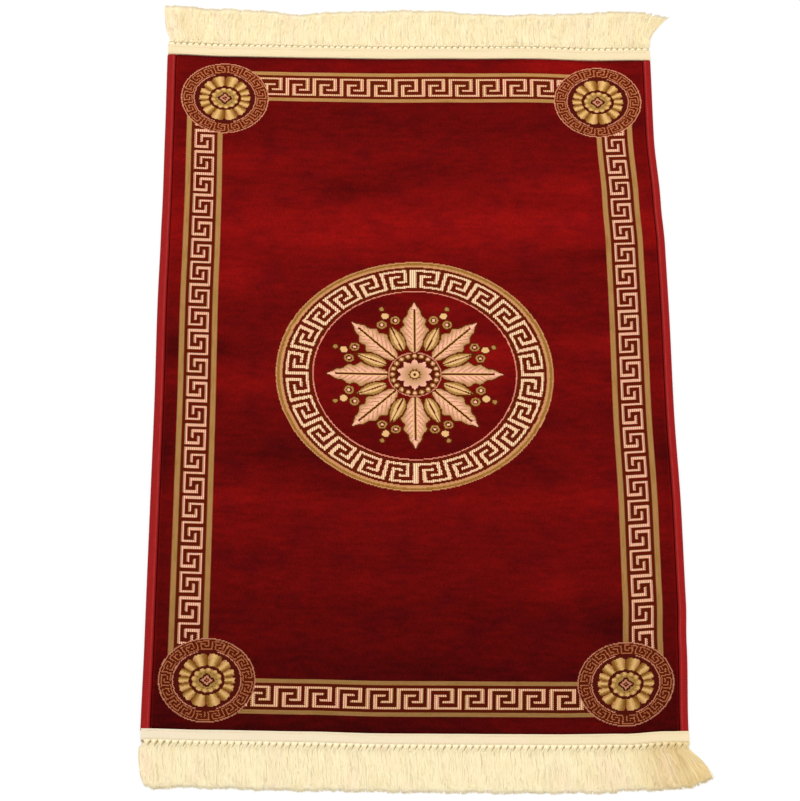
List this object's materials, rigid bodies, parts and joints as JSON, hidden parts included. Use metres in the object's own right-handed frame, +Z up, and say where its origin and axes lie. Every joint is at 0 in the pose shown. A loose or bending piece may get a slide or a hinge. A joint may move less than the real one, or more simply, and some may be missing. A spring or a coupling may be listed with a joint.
{
  "type": "meander pattern rug",
  "caption": "Flat fringed pile rug with overcast long edges and a sewn heading tape and cut fringe at each end, laid on the floor.",
  "frame": {"origin": "middle of the whole rug's footprint, on the floor", "axes": "+Y along the rug's length towards the far fringe, +X across its width, +Z up"},
  "size_m": [0.5236, 0.9338, 0.0074],
  "materials": {
    "rug_pile": "cut velvet pile, crimson ground with gold and peach meander",
    "overcast_yarn": "glossy red overcasting yarn",
    "heading_tape": "woven cream tape",
    "fringe_yarn": "cream cut yarn"
  },
  "bodies": {
    "root": {"pile_body": "rug_pile", "side_overcast_left": "overcast_yarn", "side_overcast_right": "overcast_yarn", "heading_tape_far": "heading_tape", "heading_tape_near": "heading_tape", "fringe_far": "fringe_yarn", "fringe_near": "fringe_yarn"}
  },
  "joints": []
}
